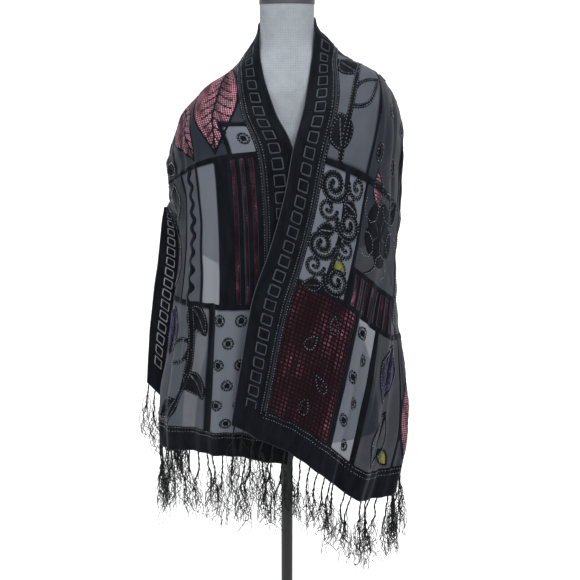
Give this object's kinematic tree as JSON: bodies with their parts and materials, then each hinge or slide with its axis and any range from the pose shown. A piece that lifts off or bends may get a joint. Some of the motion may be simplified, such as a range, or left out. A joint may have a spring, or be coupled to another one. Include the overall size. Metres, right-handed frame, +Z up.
{
  "type": "devore velvet shawl on a limbless dress form",
  "caption": "Long fringed devore velvet shawl draped over the shoulders of a limbless dress form on a pole and round base.",
  "frame": {"origin": "centre of the base's underside, on the floor", "axes": "+Z up along the pole, -Y towards the front of the garment, +X towards the viewer's right as seen from the front"},
  "size_m": [0.5641, 0.3563, 1.5363],
  "materials": {
    "velvet": "sheer ground with burnt out velvet pile",
    "fringe_silk": "twisted yarn",
    "form_linen": "woven cover",
    "cap_black": "satin",
    "stand_steel": "black powder coat"
  },
  "bodies": {
    "root": {"shawl_back": "velvet", "shawl_left_front": "velvet", "shawl_right_front": "velvet", "fringe_left": "fringe_silk", "fringe_right": "fringe_silk", "form_torso": "form_linen", "neck_cap": "cap_black", "pole": "stand_steel", "base": "stand_steel"}
  },
  "joints": []
}
